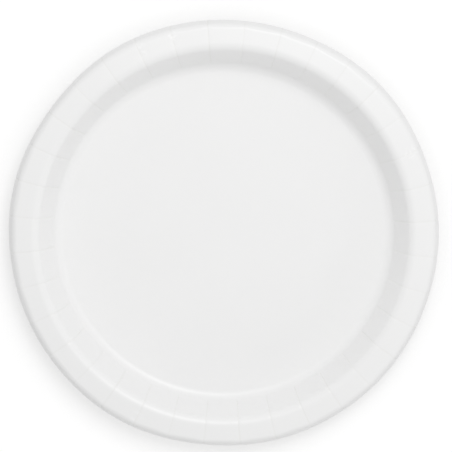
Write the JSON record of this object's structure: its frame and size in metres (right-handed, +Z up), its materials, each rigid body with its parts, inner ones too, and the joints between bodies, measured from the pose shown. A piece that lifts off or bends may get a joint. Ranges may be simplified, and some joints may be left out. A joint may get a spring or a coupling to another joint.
{
  "type": "paper plate",
  "caption": "Round white plate pressed from coated paperboard, with a flat floor, a steep pleated wall, a level brim and a turned down lip.",
  "frame": {"origin": "centre of the underside of the floor, where the plate rests", "axes": "+Z up along the plate's axis, out of the eating side; +X and +Y lie in the plane that it rests on, with the first pleat 4.4 degrees from +X towards +Y"},
  "size_m": [0.2286, 0.2286, 0.0196],
  "materials": {
    "coated_board": "satin"
  },
  "bodies": {
    "root": {"paper_plate": "coated_board"}
  },
  "joints": []
}
